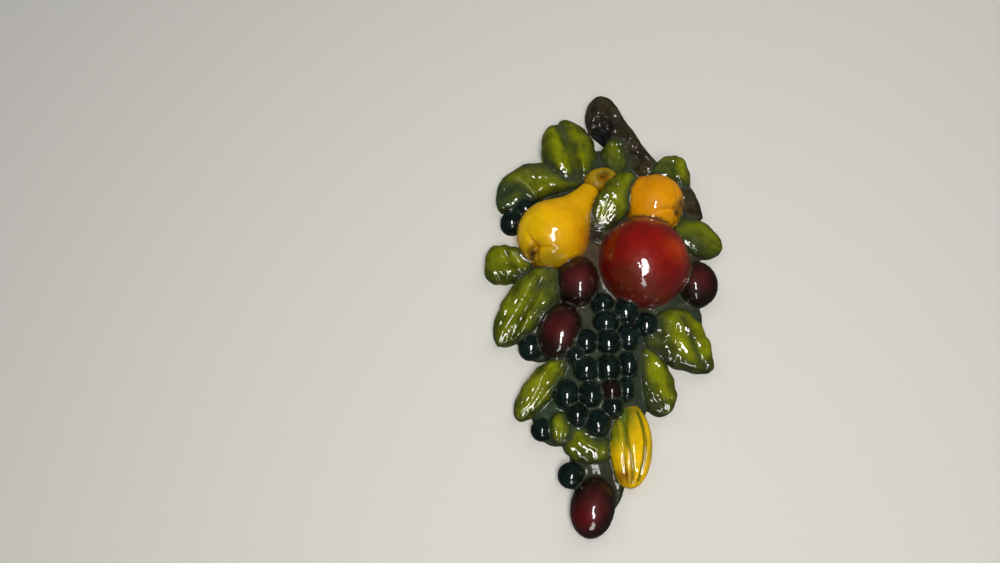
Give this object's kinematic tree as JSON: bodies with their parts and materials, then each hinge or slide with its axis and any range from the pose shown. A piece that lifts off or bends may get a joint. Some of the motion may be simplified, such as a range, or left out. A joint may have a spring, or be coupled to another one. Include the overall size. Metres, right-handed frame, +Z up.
{
  "type": "decorative wall plaque",
  "caption": "Upright relief plaque of pears, an apple, grapes, plums and leaves under a cut branch, with a flat back and a nail pocket.",
  "frame": {"origin": "on the flat back face, above the nail pocket and in line with the centre of mass", "axes": "+Z up as the plaque hangs, +Y out of the back into the wall, +X to the right seen from the front"},
  "size_m": [0.1387, 0.036, 0.2611],
  "materials": {
    "painted_plaster": "gloss"
  },
  "bodies": {
    "root": {"fruit_plaque": "painted_plaster"}
  },
  "joints": []
}
